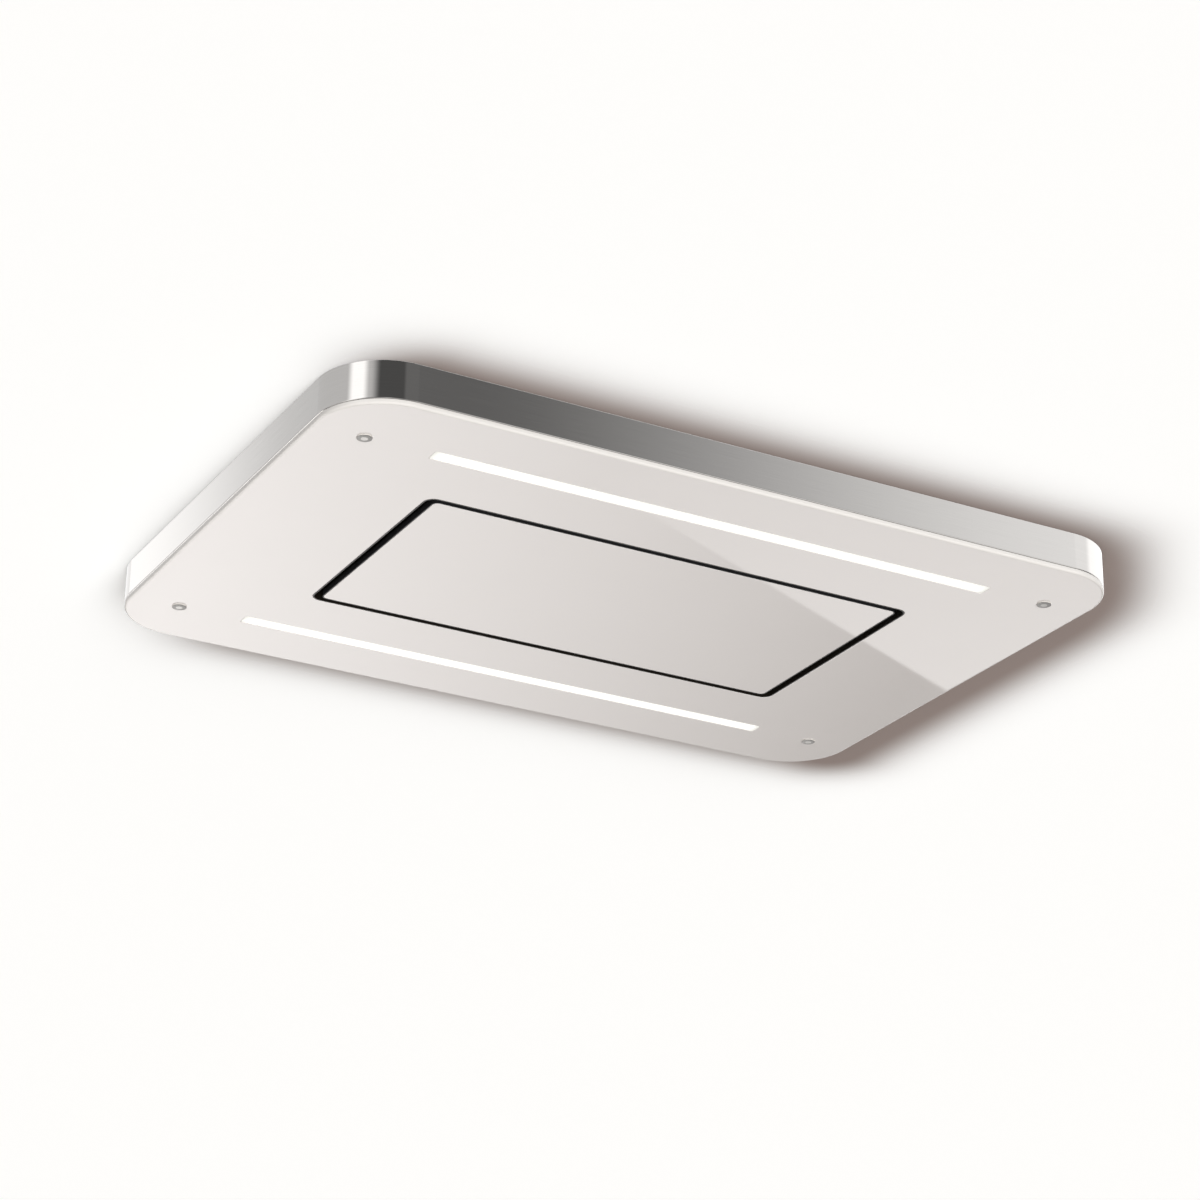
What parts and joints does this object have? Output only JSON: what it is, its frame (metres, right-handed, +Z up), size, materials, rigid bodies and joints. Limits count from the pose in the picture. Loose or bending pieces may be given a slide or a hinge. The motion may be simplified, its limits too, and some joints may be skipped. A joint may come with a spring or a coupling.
{
  "type": "ceiling range hood",
  "caption": "Flat ceiling range hood with a white glass slab, steel rim, light strips and a hinged central panel with edge suction, and a recessed fan body with a side duct outlet.",
  "frame": {"origin": "centre of the slab in the plane of the ceiling", "axes": "+Z up into the ceiling, +X along the slab towards the duct outlet, +Y towards the panel's hinge side"},
  "size_m": [1, 0.7, 0.288],
  "materials": {
    "white_glass": "polished glass, painted white on its hidden face",
    "polished_steel": "stainless steel, finely brushed and polished",
    "zinc_steel": "galvanised sheet, dull",
    "black_steel": "black powder coat",
    "opal_plastic": "opal diffuser, satin",
    "aluminium": "mill finish",
    "circuit_board": "white solder mask",
    "grey_plastic": "moulded, fine grain",
    "black_plastic": "moulded, fine grain",
    "wheel_plastic": "moulded, satin",
    "black_rubber": "moulded rubber",
    "pin_steel": "turned bright steel",
    "magnet": "nickel-free magnet block in a dark shell"
  },
  "bodies": {
    "fixed": {"bracket_far_left": "zinc_steel", "bracket_far_right": "zinc_steel", "bracket_near_left": "zinc_steel", "bracket_near_right": "zinc_steel", "cable_box": "grey_plastic", "cable_box_lid": "grey_plastic", "cable_gland": "black_plastic", "casing_cover": "zinc_steel", "catch_magnet_left": "magnet", "catch_magnet_right": "magnet", "ceiling_pan": "zinc_steel", "control_box": "grey_plastic", "duct_collar": "zinc_steel", "fan_casing": "zinc_steel", "fan_motor": "black_steel", "filter_frame_left": "aluminium", "filter_frame_right": "aluminium", "filter_pad_left": "aluminium", "filter_pad_right": "aluminium", "flap_pin": "pin_steel", "hinge_hanger_left": "zinc_steel", "hinge_hanger_right": "zinc_steel", "housing_box": "zinc_steel", "housing_lid": "zinc_steel", "inlet_ring": "zinc_steel", "led_board_far": "circuit_board", "led_board_near": "circuit_board", "led_channel_far": "aluminium", "led_channel_near": "aluminium", "led_cover_far": "opal_plastic", "led_cover_near": "opal_plastic", "led_driver": "grey_plastic", "outer_glass": "white_glass", "rim_band": "polished_steel", "rubber_mount_far_left": "black_rubber", "rubber_mount_far_right": "black_rubber", "rubber_mount_near_left": "black_rubber", "rubber_mount_near_right": "black_rubber", "stud_far_left": "polished_steel", "stud_far_right": "polished_steel", "stud_near_left": "polished_steel", "stud_near_right": "polished_steel", "throat_sleeve": "black_steel"},
    "panel": {"panel_glass": "white_glass", "panel_trim": "black_plastic", "panel_tray": "black_steel", "hinge_bracket_left": "zinc_steel", "hinge_bracket_right": "zinc_steel", "hinge_pin_left": "pin_steel", "hinge_pin_right": "pin_steel", "catch_keeper_left": "zinc_steel", "catch_keeper_right": "zinc_steel"},
    "rotor": {"fan_wheel": "wheel_plastic", "motor_shaft": "pin_steel"},
    "far_flap": {"flap_far": "aluminium"},
    "near_flap": {"flap_near": "aluminium"},
    "left_bolt": {"filter_bolt_left": "grey_plastic"},
    "right_bolt": {"filter_bolt_right": "grey_plastic"}
  },
  "joints": [
    {"name": "panel_hinge", "type": "hinge", "parent": "fixed", "child": "panel", "pos_m": [0, 0.122, -0.034], "axis": [1, 0, 0], "range_deg": [0, 90]},
    {"name": "wheel_spin", "type": "hinge", "parent": "fixed", "child": "rotor", "pos_m": [-0.1, 0.015, 0.14], "axis": [0, 0, 1], "continuous": true},
    {"name": "far_flap_hinge", "type": "hinge", "parent": "fixed", "child": "far_flap", "pos_m": [0.342, -0.073, 0.1362], "axis": [0, 0, -1], "range_deg": [0, 75], "stiffness_Nm_per_rad": 0.02},
    {"name": "near_flap_hinge", "type": "hinge", "parent": "fixed", "child": "near_flap", "pos_m": [0.342, -0.073, 0.1362], "axis": [0, 0, 1], "range_deg": [0, 75], "stiffness_Nm_per_rad": 0.02},
    {"name": "left_bolt_slide", "type": "slide", "parent": "fixed", "child": "left_bolt", "axis": [0, 1, 0], "range_m": [0, 0.007], "stiffness_N_per_m": 200, "springref_m": -0.005},
    {"name": "right_bolt_slide", "type": "slide", "parent": "fixed", "child": "right_bolt", "axis": [0, 1, 0], "range_m": [0, 0.007], "stiffness_N_per_m": 200, "springref_m": -0.005}
  ]
}
